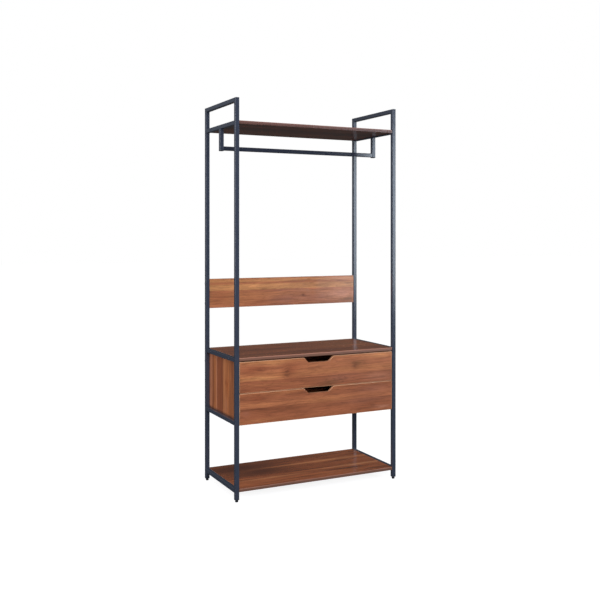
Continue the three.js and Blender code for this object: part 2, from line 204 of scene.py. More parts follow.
def walnut(name, along, across, limits, planks, marks=(), seed=0.0, gloss=0.30, shade=None):
    """Walnut-pattern laminate, with its grain along one axis.

    Planks are (share across, colour) stops between the two limits. A mark is a soft patch of another
    colour, and the grain of a knot bends round it. A shade is (place along the grain, reach, depth):
    painted shade that darkens the wood towards that place, standing in for the contact shade just above a
    rail.
    """
    g = Graph(name)
    axes = g.axes()
    u, v = axes[AXES.index(along)], axes[AXES.index(across)]
    drift = g.noise(g.vector(g.math("MULTIPLY", u, 3.0), g.math("MULTIPLY", v, 9.0), seed), detail=2.0)
    ragged = g.noise(
        g.vector(g.math("MULTIPLY", u, 12.0), g.math("MULTIPLY", v, 70.0), seed + 31.0), detail=3.0
    )
    grain = g.math("MULTIPLY_ADD", drift, WANDER, g.math("ADD", v, -WANDER_MIDDLE))
    grain = g.math("MULTIPLY_ADD", ragged, RAGGED, grain)
    spot_u = centred(g, ragged, MARK_WANDER_ALONG, u)
    spot_v = centred(g, ragged, MARK_WANDER_ACROSS, grain)

    share = g.span(centred(g, drift, SEAM_WANDER, v), *limits)
    colour = g.ramp(share, planks)
    for mark in marks:
        du = g.math("MULTIPLY", g.math("SUBTRACT", spot_u, mark.u), 1 / mark.length)
        dv = g.math("MULTIPLY", g.math("SUBTRACT", spot_v, mark.v), 1 / mark.width)
        squared = g.math("MULTIPLY_ADD", du, du, g.math("MULTIPLY", dv, dv))
        near = g.math("POWER", math.e, g.math("MULTIPLY", squared, -1.0))
        colour = g.mix(g.math("MULTIPLY", near, mark.depth), colour, mark.colour)
        if mark.bend:
            grain = g.math("MULTIPLY_ADD", g.math("MULTIPLY", dv, near), -mark.bend * mark.width, grain)

    def streaks(per_metre_along, per_metre_across, step, detail, roughness=0.5):
        """Noise drawn out along the grain, with its own place in the noise field."""
        place = g.vector(
            g.math("MULTIPLY", u, per_metre_along), g.math("MULTIPLY", grain, per_metre_across), seed + step
        )
        return g.noise(place, detail=detail, roughness=roughness)

    field = streaks(1.6, 18.0, 3.1, 2.5)
    rings = g.math("FRACT", g.math("MULTIPLY", field, GROWTH_RINGS))
    late = g.math("POWER", rings, 6.0)
    figure = streaks(7.5, 120.0, 7.7, 5.0, 0.65)
    broad = streaks(3.5, 26.0, 13.3, 2.0)
    fleck = streaks(16.0, 400.0, 11.3, 4.0, 0.7)
    lines = g.span(streaks(6.0, 560.0, 19.1, 2.0), 0.54, 0.62)
    fibre = streaks(30.0, 1400.0, 17.9, 2.0)
    pores = g.span(streaks(60.0, 1800.0, 23.3, 1.0), 0.60, 0.68)

    tone = around(g, figure, 0.85)
    for layer, contrast in ((broad, 0.5), (fleck, 0.85), (fibre, 0.35)):
        tone = g.math("MULTIPLY", tone, around(g, layer, contrast))
    for layer, brightest in ((late, 1.035), (lines, 1.06), (pores, 1.03)):
        tone = g.math("MULTIPLY", tone, g.math("MULTIPLY_ADD", layer, -0.26, brightest))
    colour = g.scale_colour(colour, tone)
    heart = g.span(figure, 0.50, 0.34, smooth=True)
    colour = g.mix(g.math("MULTIPLY", heart, 0.28), colour, HEARTWOOD)
    # Painted shade: the wood darkens towards a place along the grain.
    if shade:
        place, reach, depth = shade
        colour = g.scale_colour(colour, g.span(u, place, place + reach, 1.0 - depth, 1.0, smooth=True))
    g.set(Base_Color=colour, Roughness=g.math("MULTIPLY_ADD", fibre, 0.08, gloss - 0.04))
    relief = g.math("MULTIPLY_ADD", fibre, 0.5, g.math("MULTIPLY", pores, -1.0))
    g.bump(relief, PORE_DEPTH, 0.3)
    return g.material


# Height of the painted highlight under an upper arris.
PAINTED_HIGHLIGHT_BAND = 4 * MM
TINT_SPREAD = 10


def edge_band(name, along, across, tint, low=None, high=None):
    """Printed plastic edging with long fine streaks. Between two heights, painted light makes it lighter
    towards the top, with a painted highlight just under the upper arris."""
    g = Graph(name)
    axes = g.axes()
    u, v = axes[AXES.index(along)], axes[AXES.index(across)]
    wide = g.noise(g.vector(g.math("MULTIPLY", u, 3.0), g.math("MULTIPLY", v, 190.0), 4.7), detail=3.0)
    fine = g.noise(g.vector(g.math("MULTIPLY", u, 14.0), g.math("MULTIPLY", v, 1300.0), 9.1), detail=2.0)
    tone = g.math("MULTIPLY", around(g, wide, 0.5), around(g, fine, 0.3))
    if high is not None:
        # Painted light: darker low on the edge and lighter high, then a painted highlight just under the
        # upper arris.
        tone = g.math("MULTIPLY", tone, g.span(axes[2], low, high, 0.80, 1.12, smooth=True))
        arris = g.span(axes[2], high - PAINTED_HIGHLIGHT_BAND, high - PAINTED_HIGHLIGHT_BAND / 2, 1.0, 1.7)
        tone = g.math("MULTIPLY", tone, arris)
    g.set(
        Base_Color=g.scale_colour(g.mix(wide, srgb(*(c - TINT_SPREAD for c in tint)), srgb(*tint)), tone),
        Roughness=g.math("MULTIPLY_ADD", fine, 0.1, 0.28),
    )
    g.bump(fine, 0.04 * MM, 0.3)
    return g.material


DUST = (0.10, 0.11, 0.14)


def powder_coat(name, dark, light, roughness):
    """Dark blue-grey powder coat: fine orange peel, faint mottling and a few dust specks."""
    g = Graph(name)
    peel = g.noise(g.point, scale=1100.0, detail=2.0)
    mottle = g.noise(g.point, scale=35.0, detail=3.0)
    speck = g.span(g.noise(g.point, scale=700.0, detail=0.0), 0.74, 0.80)
    base = g.mix(mottle, dark, light)
    g.set(
        Base_Color=g.mix(g.math("MULTIPLY", speck, 0.35), base, DUST),
        Roughness=g.math("MULTIPLY_ADD", mottle, 0.04, roughness),
    )
    g.bump(peel, 0.02 * MM, 0.2)
    return g.material


def moulded_plastic(name, dark, light, roughness, grain_scale):
    """Moulded plastic with a fine grain and faint smears."""
    g = Graph(name)
    texture = g.noise(g.point, scale=grain_scale, detail=2.0)
    smear = g.noise(g.point, scale=60.0, detail=2.0)
    g.set(
        Base_Color=g.mix(smear, dark, light),
        Roughness=g.math("MULTIPLY_ADD", texture, 0.15, roughness),
    )
    g.bump(texture, 0.04 * MM, 0.4)
    return g.material


def coated_steel(name, dark, light, roughness):
    """Pressed runner steel and screw heads under a thin dark coat, drawn along Y."""
    g = Graph(name)
    x, y, z = g.axes()
    drawn = g.noise(
        g.vector(g.math("MULTIPLY", x, 900.0), g.math("MULTIPLY", y, 14.0), g.math("MULTIPLY", z, 900.0)),
        detail=2.0,
    )
    cloud = g.noise(g.point, scale=80.0, detail=2.0)
    g.set(
        Base_Color=g.mix(g.math("MULTIPLY", g.math("ADD", drawn, cloud), 0.5), dark, light),
        Roughness=g.math("MULTIPLY_ADD", drawn, 0.15, roughness),
        Metallic=0.75,
    )
    g.bump(drawn, 0.02 * MM, 0.3)
    return g.material


def hardboard(name, dark, light):
    """Thin pressed fibreboard: brown, with loose fibres and a slight felt relief."""
    g = Graph(name)
    fibres = g.noise(g.point, scale=420.0, detail=4.0, roughness=0.7, distortion=1.5)
    cloud = g.noise(g.point, scale=14.0, detail=3.0)
    g.set(
        Base_Color=g.scale_colour(g.mix(cloud, dark, light), around(g, fibres, 0.7)),
        Roughness=g.math("MULTIPLY_ADD", fibres, 0.2, 0.55),
    )
    g.bump(fibres, 0.10 * MM, 0.4)
    return g.material


GOLD = srgb(176, 121, 78)
ORANGE = srgb(161, 102, 67)
TAN = srgb(157, 96, 66)
BROWN = srgb(144, 86, 57)
RED_BROWN = srgb(140, 83, 57)
DARK = srgb(116, 67, 46)
PINK = srgb(172, 118, 95)
PLUM = srgb(134, 84, 66)
EMBER = srgb(124, 66, 44)
KNOT = srgb(92, 52, 36)
OLIVE = srgb(108, 72, 46)

METAL = powder_coat("powder_coat_blue_grey", (0.029, 0.035, 0.055), (0.037, 0.045, 0.069), 0.20)
# The rod's coat is a darker copy of the frame's: painted shade from the shelf above it.
ROD_METAL_PAINTED_SHADE = powder_coat("powder_coat_rod_painted_shade", (0.017, 0.020, 0.032), (0.022, 0.026, 0.042), 0.12)
BLACK_PLASTIC = moulded_plastic("black_plastic", (0.012, 0.013, 0.016), (0.024, 0.025, 0.030), 0.38, 1600.0)
NYLON = moulded_plastic("white_nylon", (0.72, 0.71, 0.67), (0.80, 0.79, 0.76), 0.35, 900.0)
RUNNER = coated_steel("runner_steel", (0.035, 0.036, 0.040), (0.060, 0.062, 0.068), 0.32)
SCREW = coated_steel("screw_steel", (0.045, 0.048, 0.058), (0.085, 0.090, 0.105), 0.28)
BACK_SHEET = hardboard("hardboard_back", srgb(124, 84, 56), srgb(148, 104, 72))
# The drawers' hardboard is a darker copy of the back panel's: painted shade inside the drawers.
DRAWER_SHEET_PAINTED_SHADE = hardboard("hardboard_drawer_painted_shade", srgb(112, 76, 52), srgb(132, 92, 66))

# ---------------------------------------------------------------- building

EASE = 0.7 * MM
EASE_STEPS = 3
SHARP = math.radians(35)
MERGE = 0.01 * MM


def weighted(obj):
    """Shades the eased edges of a piece by its large faces."""
    modifier = obj.modifiers.new("even_shading", "WEIGHTED_NORMAL")
    modifier.keep_sharp = True
    modifier.weight = 80


def make_piece(name, bm, materials, body, replaced=()):
    """Turns a finished bmesh into a visible piece that rides on a body."""
    bmesh.ops.recalc_face_normals(bm, faces=bm.faces)
    mesh = bpy.data.meshes.new(name)
    bm.to_mesh(mesh)
    bm.free()
    for material in materials:
        mesh.materials.append(material)
    mesh.shade_smooth()
    mesh.set_sharp_from_angle(angle=SHARP)
    obj = bpy.data.objects.new(name, mesh)
    bpy.context.scene.collection.objects.link(obj)
    weighted(obj)
    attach(obj, body)
    if replaced:
        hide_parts(*replaced)


def smoothing_group():
    """Geometry nodes that join the frame's split triangles and shade them smooth across shallow edges."""
    group = bpy.data.node_groups.new("join_and_smooth", "GeometryNodeTree")
    for way in ("INPUT", "OUTPUT"):
        group.interface.new_socket("Geometry", in_out=way, socket_type="NodeSocketGeometry")

    def add(kind, **settings):
        node = group.nodes.new(kind)
        for key, value in settings.items():
            setattr(node, key, value)
        return node

    merge = add("GeometryNodeMergeByDistance")
    merge.inputs["Distance"].default_value = MERGE
    drop = add("GeometryNodeRemoveAttribute")
    drop.inputs["Name"].default_value = "custom_normal"
    faces = add("GeometryNodeSetShadeSmooth", domain="FACE")
    all_edges = add("GeometryNodeSetShadeSmooth", domain="EDGE")
    sharp_edges = add("GeometryNodeSetShadeSmooth", domain="EDGE")
    sharp_edges.inputs["Shade Smooth"].default_value = False
    angle = add("GeometryNodeInputMeshEdgeAngle")
    compare = add("FunctionNodeCompare", data_type="FLOAT", operation="GREATER_THAN")
    compare.inputs[1].default_value = SHARP
    group.links.new(angle.outputs[0], compare.inputs[0])
    group.links.new(compare.outputs[0], sharp_edges.inputs["Selection"])
    chain = [add("NodeGroupInput"), merge, drop, faces, all_edges, sharp_edges, add("NodeGroupOutput")]
    for before, after in zip(chain, chain[1:]):
        group.links.new(before.outputs[0], after.inputs[0])
    return group


SMOOTHING = smoothing_group()


def dress(node, material, ease=0.0, angle=50):
    """Gives a node of the frame its material, eased edges and smooth shading, without touching its mesh."""
    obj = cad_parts[node]
    obj.material_slots[0].link = "OBJECT"
    obj.material_slots[0].material = material
    obj.modifiers.new("join_and_smooth", "NODES").node_group = SMOOTHING
    if ease:
        bevel = obj.modifiers.new("eased_edges", "BEVEL")
        bevel.width = ease
        bevel.segments = 2
        bevel.limit_method = "ANGLE"
        bevel.angle_limit = math.radians(angle)
    weighted(obj)


def block(low, high, ease=EASE):
    """A box between two corners, with rounded edges."""
    bm = bmesh.new()
    bmesh.ops.create_cube(bm, size=1.0)
    for vert in bm.verts:
        for i in range(3):
            vert.co[i] = high[i] if vert.co[i] > 0 else low[i]
    bmesh.ops.bevel(bm, geom=bm.edges[:], offset=ease, segments=EASE_STEPS, profile=0.5, affect="EDGES")
    return bm


def band_edges(bm, thin_axis):
    """Faces across the thin axis take the laminate, all others the edge banding."""
    for face in bm.faces:
        face.normal_update()
        face.material_index = 0 if abs(face.normal[thin_axis]) > 0.9 else 1


def board(name, node, thin_axis, laminate, edging):
    """A laminated board in the place of a node of the frame."""
    low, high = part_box(node)
    bm = block(low, high)
    band_edges(bm, thin_axis)
    make_piece(name, bm, [laminate, edging], "root", [node])


def revolve(bm, profile, segments, matrix, shape=None):
    """Adds the closed surface of a (radius, height) profile turned about Z, then moved by a matrix. A shape
    function may change a ring's radius with its angle."""
    rings = []
    for index, (radius, height) in enumerate(profile):
        if radius == 0:
            rings.append([bm.verts.new(matrix @ Vector((0, 0, height)))])
            continue
        ring = []
        for i in range(segments):
            turn = 2 * math.pi * i / segments
            r = shape(index, turn, radius) if shape else radius
            ring.append(bm.verts.new(matrix @ Vector((r * math.cos(turn), r * math.sin(turn), height))))
        rings.append(ring)
    for a, b in zip(rings, rings[1:]):
        for i in range(segments):
            j = (i + 1) % segments
            corners = [a[i % len(a)], a[j % len(a)], b[j % len(b)], b[i % len(b)]]
            kept = [c for k, c in enumerate(corners) if c not in corners[:k]]
            bm.faces.new(kept)


def turned(place, axis):
    """A matrix that puts +Z along an axis at a place."""
    return Matrix.Translation(place) @ Vector(axis).to_track_quat("Z", "Y").to_matrix().to_4x4()


def hexagon(radius, turn):
    """The radius of a hexagon at a turn, with its corners at the given radius."""
    return radius * math.cos(math.pi / 6) / math.cos(turn % (math.pi / 3) - math.pi / 6)


HEAD_SEGMENTS = 24
CAM_SEGMENTS = 32
CAM_RADIUS = 7.5 * MM


def button_bolt(bm, place, axis, radius, height, socket):
    """A domed bolt head with a hexagonal socket, standing on place."""
    dome = [
        (0, -0.5 * MM),
        (radius, -0.5 * MM),
        (radius, 0.25 * height),
        (0.93 * radius, 0.55 * height),
        (0.78 * radius, 0.82 * height),
        (0.58 * radius, height),
        (socket, height),
        (socket, 0.35 * height),
        (0, 0.25 * height),
    ]
    in_socket = (6, 7)
    revolve(
        bm,
        dome,
        HEAD_SEGMENTS,
        turned(place, axis),
        lambda index, turn, r: hexagon(r, turn) if index in in_socket else r,
    )


def cross_screw(bm, place, axis, radius, height):
    """A low pan head with a cross recess."""
    head = [
        (0, -0.4 * MM),
        (radius, -0.4 * MM),
        (radius, 0.2 * height),
        (0.85 * radius, 0.7 * height),
        (0.6 * radius, height),
        (0.55 * radius, height),
        (0.42 * radius, 0.45 * height),
        (0, 0.2 * height),
    ]

    def cross(index, turn, r):
        if index in (5, 6):
            return r * (0.35 + 0.65 * abs(math.cos(2 * turn)) ** 3)
        return r

    revolve(bm, head, HEAD_SEGMENTS, turned(place, axis), cross)


def cam_cap(bm, place, axis):
    """The face of a cam lock, nearly flush with the board, with a deep cross slot."""
    radius = CAM_RADIUS
    face = [
        (0, -1.0 * MM),
        (radius, -1.0 * MM),
        (radius, 0.2 * MM),
        (0.94 * radius, 0.5 * MM),
        (0.5 * radius, 0.5 * MM),
        (0.45 * radius, -0.4 * MM),
        (0, -0.4 * MM),
    ]

    def cross(index, turn, r):
        if index in (4, 5):
            return r * (0.30 + 0.70 * abs(math.cos(2 * turn)) ** 4)
        return r

    revolve(bm, face, CAM_SEGMENTS, turned(place, axis), cross)


BEAD = 1.7 * MM
BEAD_RIPPLES = 5
BEAD_SUNK = 0.2 * MM


def weld_bead(bm, start, end, normal_a, normal_b):
    """A rippled, slightly hollow fillet in the inner corner of two faces, tapered to both ends."""
    steps, arc = 6 * BEAD_RIPPLES, 6
    rows = []
    for i in range(steps + 1):
        t = i / steps
        swell = 1 + 0.10 * math.cos(2 * math.pi * BEAD_RIPPLES * t)
        taper = min(1.0, 5 * t + 0.35, 5 * (1 - t) + 0.35)
        reach = BEAD * swell * taper
        centre = start.lerp(end, t)
        row = [centre - (normal_a + normal_b) * BEAD_SUNK]
        for k in range(arc + 1):
            turn = math.pi / 2 * k / arc
            radius = reach * (0.80 - 0.20 * math.sin(2 * turn))
            row.append(centre + normal_a * radius * math.cos(turn) + normal_b * radius * math.sin(turn))
        rows.append([bm.verts.new(p) for p in row])
    count = len(rows[0])
    for a, b in zip(rows, rows[1:]):
        for k in range(count):
            n = (k + 1) % count
            bm.faces.new([a[k], a[n], b[n], b[k]])
    bm.faces.new(rows[0])
    bm.faces.new(rows[-1][::-1])


# ---------------------------------------------------------------- boards

shelf_low, shelf_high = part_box("top_shelf")
base_low, base_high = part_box("base_shelf")
unit_top_low, unit_top_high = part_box("unit_top_panel")
back_low, back_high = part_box("back_board")
side_low, side_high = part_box("unit_left_side")
side_rail_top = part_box("left_unit_bottom_rail")[1].z
upper_low, upper_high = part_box("upper_drawer_front")
lower_low, lower_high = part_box("lower_drawer_front")

SHELF_EDGE = edge_band("edge_band_shelf", "x", "z", (100, 71, 65), shelf_low.z, shelf_high.z)
UNIT_EDGE = edge_band("edge_band_unit", "x", "z", (126, 90, 76), unit_top_low.z, unit_top_high.z)
BASE_EDGE = edge_band("edge_band_base", "x", "z", (118, 84, 71), base_low.z, base_high.z)
SIDE_EDGE = edge_band("edge_band_side", "z", "y", (126, 90, 76))
# The fronts' edging is tinted lighter as painted light, for top edges that catch the light.
FRONT_EDGE_PAINTED_LIGHT = edge_band("edge_band_fronts_painted_light", "x", "z", (190, 136, 104))
# Painted highlight for the eased arris of the drawer fronts.
FRONT_PAINTED_HIGHLIGHT = edge_band("edge_painted_highlight_fronts", "x", "z", (218, 166, 130))

SHELF_WOOD = walnut(
    "walnut_top_shelf",
    "x",
    "y",
    (shelf_low.y, shelf_high.y),
    [(0.0, BROWN), (0.30, RED_BROWN), (0.31, DARK), (0.62, BROWN), (0.63, TAN), (1.0, BROWN)],
    seed=1.0,
)
UNIT_TOP_WOOD = walnut(
    "walnut_unit_top",
    "x",
    "y",
    (unit_top_low.y, unit_top_high.y),
    [(0.0, BROWN), (0.24, DARK), (0.25, TAN), (0.5, BROWN), (0.51, RED_BROWN), (0.8, BROWN), (1.0, TAN)],
    marks=[
        Mark(-0.20, 0.02, 0.25, 0.020, 0.6, KNOT),
        Mark(0.10, -0.10, 0.22, 0.016, 0.6, KNOT),
        Mark(-0.25, -0.15, 0.12, 0.025, 0.5, ORANGE),
        Mark(0.27, 0.02, 0.14, 0.12, 0.75, ORANGE),
        Mark(0.20, -0.05, 0.16, 0.010, 0.5, DARK),
        Mark(-0.22, -0.02, 0.16, 0.12, 0.4, DARK),
        Mark(-0.05, 0.12, 0.20, 0.020, 0.5, DARK),
    ],
    seed=5.0,
    gloss=0.22,
)
BASE_ORANGE = srgb(165, 95, 57)
BASE_BROWN = srgb(140, 77, 46)
BASE_DARK = srgb(66, 32, 18)
BASE_LIGHT = srgb(200, 132, 86)
BASE_WOOD = walnut(
    "walnut_base_shelf",
    "x",
    "y",
    (base_low.y, base_high.y),
    [
        (0.0, BASE_BROWN),
        (0.12, BASE_ORANGE),
        (0.30, BASE_BROWN),
        (0.33, BASE_ORANGE),
        (0.36, BASE_BROWN),
        (0.66, BASE_ORANGE),
        (0.67, BASE_BROWN),
        (1.0, BASE_ORANGE),
    ],
    marks=[
        Mark(-0.30, 0.12, 0.30, 0.11, 0.90, BASE_DARK),
        Mark(-0.20, 0.01, 0.18, 0.055, 0.80, BASE_DARK),
        Mark(0.10, 0.16, 0.24, 0.035, 0.5, BASE_DARK),
        Mark(0.18, 0.065, 0.26, 0.012, 0.8, BASE_LIGHT),
        Mark(0.24, 0.030, 0.20, 0.010, 0.5, BASE_DARK),
        Mark(0.02, -0.050, 0.14, 0.008, 0.7, BASE_DARK),
        Mark(0.28, -0.070, 0.18, 0.014, 0.8, BASE_LIGHT),
        Mark(-0.20, -0.095, 0.18, 0.010, 0.6, BASE_LIGHT),
        Mark(0.20, -0.110, 0.14, 0.012, 0.75, BASE_DARK),
        Mark(-0.10, -0.150, 0.20, 0.008, 0.6, BASE_DARK),
        Mark(0.34, -0.165, 0.11, 0.022, 0.7, BASE_DARK),
    ],
    seed=9.0,
    gloss=0.22,
)
BACK_WOOD = walnut(
    "walnut_back_board",
    "x",
    "z",
    (back_low.z, back_high.z),
    [
        (0.0, TAN),
        (0.20, ORANGE),
        (0.44, ORANGE),
        (0.56, TAN),
        (0.575, TAN),
        (0.59, GOLD),
        (0.76, GOLD),
        (0.80, ORANGE),
        (0.84, TAN),
        (0.88, GOLD),
        (1.0, ORANGE),
    ],
    marks=[
        Mark(-0.35, 0.965, 0.08, 0.004, 0.6, BROWN),
        Mark(0.11, 0.961, 0.13, 0.008, 0.6, BROWN),
        Mark(0.32, 0.971, 0.08, 0.010, 0.6, PINK),
        Mark(-0.35, 0.890, 0.06, 0.030, 0.4, EMBER),
        Mark(-0.14, 0.868, 0.07, 0.016, 0.45, EMBER),
        Mark(0.00, 0.872, 0.085, 0.024, 0.8, PLUM),
        Mark(0.16, 0.878, 0.11, 0.026, 0.75, PLUM),
        Mark(0.02, 0.921, 0.13, 0.004, 0.7, PLUM),
        Mark(0.13, 0.912, 0.07, 0.006, 0.5, PINK),
        Mark(0.33, 0.892, 0.10, 0.024, 0.75, PINK),
        Mark(0.113, 0.891, 0.013, 0.007, 0.75, KNOT, 0.9),
        Mark(0.37, 0.858, 0.05, 0.010, 0.7, OLIVE),
        Mark(0.18, 0.846, 0.22, 0.003, 0.6, OLIVE),
    ],
    seed=13.0,
)
UPPER_WOOD = walnut(
    "walnut_upper_front",
    "x",
    "z",
    (upper_low.z, upper_high.z),
    [
        (0.0, RED_BROWN),
        (0.335, RED_BROWN),
        (0.345, DARK),
        (0.36, TAN),
        (0.50, ORANGE),
        (0.68, TAN),
        (0.88, TAN),
        (1.0, ORANGE),
    ],
    marks=[
        Mark(-0.25, 0.618, 0.10, 0.010, 0.6, GOLD),
        Mark(-0.31, 0.548, 0.10, 0.007, 0.8, GOLD),
        Mark(0.32, 0.616, 0.08, 0.008, 0.6, GOLD),
        Mark(0.30, 0.556, 0.10, 0.012, 0.7, ORANGE),
        Mark(0.08, 0.588, 0.16, 0.012, 0.5, ORANGE),
        Mark(-0.36, 0.583, 0.05, 0.016, 0.5, EMBER),
        Mark(-0.315, 0.594, 0.055, 0.012, 0.6, EMBER),
        Mark(-0.298, 0.589, 0.022, 0.007, 0.55, KNOT, 0.9),
        Mark(-0.150, 0.578, 0.045, 0.036, 0.55, EMBER),
        Mark(-0.166, 0.568, 0.015, 0.024, 0.6, KNOT, 0.8),
        Mark(0.212, 0.583, 0.038, 0.018, 0.65, OLIVE, 0.6),
        Mark(0.194, 0.570, 0.014, 0.024, 0.55, KNOT),
        Mark(0.110, 0.520, 0.075, 0.018, 0.7, PLUM),
        Mark(0.055, 0.502, 0.055, 0.014, 0.7, OLIVE),
        Mark(-0.24, 0.518, 0.12, 0.005, 0.6, ORANGE),
        Mark(-0.07, 0.499, 0.05, 0.005, 0.7, ORANGE),
        Mark(0.33, 0.510, 0.09, 0.020, 0.4, PINK),
    ],
    seed=17.0,
)
LOWER_WOOD = walnut(
    "walnut_lower_front",
    "x",
    "z",
    (lower_low.z, lower_high.z),
    [
        (0.0, BROWN),
        (0.15, RED_BROWN),
        (0.47, RED_BROWN),
        (0.49, DARK),
        (0.50, TAN),
        (0.66, TAN),
        (0.82, RED_BROWN),
        (1.0, BROWN),
    ],
    marks=[
        Mark(-0.31, 0.428, 0.12, 0.010, 0.7, ORANGE),
        Mark(0.03, 0.424, 0.13, 0.013, 0.8, ORANGE),
        Mark(-0.17, 0.476, 0.08, 0.006, 0.6, ORANGE),
        Mark(-0.32, 0.360, 0.11, 0.006, 0.6, ORANGE),
        Mark(-0.318, 0.455, 0.040, 0.011, 0.65, EMBER, 0.8),
        Mark(-0.374, 0.393, 0.022, 0.014, 0.6, PLUM, 0.5),
        Mark(-0.30, 0.403, 0.13, 0.007, 0.7, DARK),
        Mark(-0.10, 0.466, 0.055, 0.006, 0.5, KNOT),
        Mark(0.10, 0.450, 0.060, 0.006, 0.4, KNOT),
        Mark(0.30, 0.455, 0.085, 0.022, 0.6, PLUM),
        Mark(0.25, 0.400, 0.14, 0.012, 0.5, PLUM),
        Mark(-0.16, 0.385, 0.12, 0.012, 0.4, DARK),
        Mark(0.289, 0.372, 0.024, 0.007, 0.6, KNOT, 0.8),
        Mark(0.35, 0.362, 0.05, 0.007, 0.6, PINK),
    ],
    seed=21.0,
)
SIDE_TAN = srgb(170, 106, 67)
SIDE_ORANGE = srgb(164, 98, 58)
SIDE_BROWN = srgb(142, 84, 50)
SIDE_DARK = srgb(133, 73, 45)
SIDE_ROSE = srgb(172, 110, 80)
SIDE_EMBER = srgb(138, 70, 34)
SIDE_WOOD = walnut(
    "walnut_unit_side",
    "z",
    "y",
    (side_low.y, side_high.y),
    [
        (0.0, SIDE_BROWN),
        (0.25, SIDE_BROWN),
        (0.29, SIDE_ORANGE),
        (0.39, SIDE_ORANGE),
        (0.42, SIDE_TAN),
        (0.484, SIDE_TAN),
        (0.492, SIDE_DARK),
        (0.688, SIDE_DARK),
        (0.696, SIDE_ROSE),
        (0.724, SIDE_ROSE),
        (0.735, SIDE_ORANGE),
        (0.80, SIDE_ORANGE),
        (0.815, SIDE_DARK),
        (0.862, SIDE_BROWN),
        (0.872, SIDE_ROSE),
        (1.0, SIDE_ROSE),
    ],
    marks=[
        Mark(0.512, -0.042, 0.016, 0.020, 0.7, SIDE_EMBER),
        Mark(0.490, -0.054, 0.030, 0.009, 0.7, SIDE_EMBER, 0.6),
        Mark(0.55, -0.093, 0.03, 0.006, 0.8, SIDE_TAN),
        Mark(0.57, -0.114, 0.06, 0.011, 0.7, SIDE_DARK),
        Mark(0.408, -0.038, 0.03, 0.016, 0.6, SIDE_ROSE),
        Mark(0.395, -0.072, 0.035, 0.006, 0.6, SIDE_DARK),
        Mark(0.415, 0.125, 0.03, 0.016, 0.5, SIDE_DARK),
    ],
    seed=25.0,
    # Painted contact shade on the side panels, darkening them just above the lower rail.
    shade=(side_rail_top, 12 * MM, 0.6),
)
# Drawer sides and backs: walnut pattern, kept dark as painted shade inside the drawers.
INSIDE_HEIGHT = 0.3
INNER_WOOD_PAINTED_SHADE = walnut(
    "walnut_inside_painted_shade",
    "y",
    "z",
    (unit_top_low.z - INSIDE_HEIGHT, unit_top_high.z),
    [(0.0, DARK), (0.3, RED_BROWN), (0.32, DARK), (0.6, RED_BROWN), (0.62, KNOT), (1.0, DARK)],
    seed=29.0,
    gloss=0.40,
)

board("top_shelf_board", "top_shelf", 2, SHELF_WOOD, SHELF_EDGE)
board("unit_top_board", "unit_top_panel", 2, UNIT_TOP_WOOD, UNIT_EDGE)
board("base_shelf_board", "base_shelf", 2, BASE_WOOD, BASE_EDGE)
board("back_rest_board", "back_board", 1, BACK_WOOD, UNIT_EDGE)
for side, _ in SIDES:
    board(f"unit_{side}_side_board", f"unit_{side}_side", 0, SIDE_WOOD, SIDE_EDGE)
board("unit_bottom_board", "unit_bottom_panel", 2, UNIT_TOP_WOOD, UNIT_EDGE)
dress("unit_back_panel", BACK_SHEET, 0.3 * MM)

# ---------------------------------------------------------------- drawers

NOTCH_TOP = 79 * MM
NOTCH_BOTTOM = 54 * MM
NOTCH_DEPTH = 24 * MM
NOTCH_CORNER = 7 * MM
NOTCH_STEPS = 8
FRONT_EASE = 1.5 * MM
# Facing range of the eased arris faces that take the fronts' painted highlight.
ARRIS_TURN = (0.1, 0.98)
SCREW_SPREAD = 28 * MM
SCREW_FROM_REAR = 6 * MM
CAM_SPREAD = 22 * MM
CAM_IN = 34 * MM
WEB_STEEL = 1.25 * MM
WEB_IN = 9 * MM
SCREW_SHARES = (0.16, 0.5, 0.84)


def front_outline(low, high):
    """The drawer front's outline seen from the front, with its finger notch, as (x, z) points."""
    floor = high.z - NOTCH_DEPTH
    slope = math.atan2(NOTCH_DEPTH, NOTCH_TOP - NOTCH_BOTTOM)
    middle = NOTCH_BOTTOM - NOTCH_CORNER * math.tan(slope / 2)
    arc = []
    for i in range(NOTCH_STEPS + 1):
        turn = slope * (1 - i / NOTCH_STEPS)
        x = middle + NOTCH_CORNER * math.sin(turn)
        z = floor + NOTCH_CORNER * (1 - math.cos(turn))
        arc.append((x, z))
    points = [(low.x, low.z), (high.x, low.z), (high.x, high.z), (NOTCH_TOP, high.z)]
    points += arc
    points += [(-x, z) for x, z in reversed(arc)]
    points += [(-NOTCH_TOP, high.z), (low.x, high.z)]
    return points


def drawer_front(level, laminate):
    """A drawer front with a finger notch, edge banding tinted lighter as painted light, and a painted
    highlight on the eased arris all round.
    """
    node = f"{level}_drawer_front"
    low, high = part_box(node)
    bm = bmesh.new()
    outline = front_outline(low, high)
    near = [bm.verts.new((x, low.y, z)) for x, z in outline]
    far = [bm.verts.new((x, high.y, z)) for x, z in outline]
    caps = [bm.faces.new(near), bm.faces.new(far[::-1])]
    count = len(outline)
    for i in range(count):
        j = (i + 1) % count
        bm.faces.new([near[j], near[i], far[i], far[j]])
    rim = list({edge for cap in caps for edge in cap.edges})
    bmesh.ops.bevel(bm, geom=rim, offset=FRONT_EASE, segments=EASE_STEPS, profile=0.5, affect="EDGES")
    band_edges(bm, 1)
    for face in bm.faces:
        # The eased arris faces take the painted highlight.
        if ARRIS_TURN[0] < abs(face.normal.y) < ARRIS_TURN[1]:
            face.material_index = 2
    looks = [laminate, FRONT_EDGE_PAINTED_LIGHT, FRONT_PAINTED_HIGHLIGHT]
    make_piece(f"{level}_drawer_face", bm, looks, f"{level}_drawer", [node])


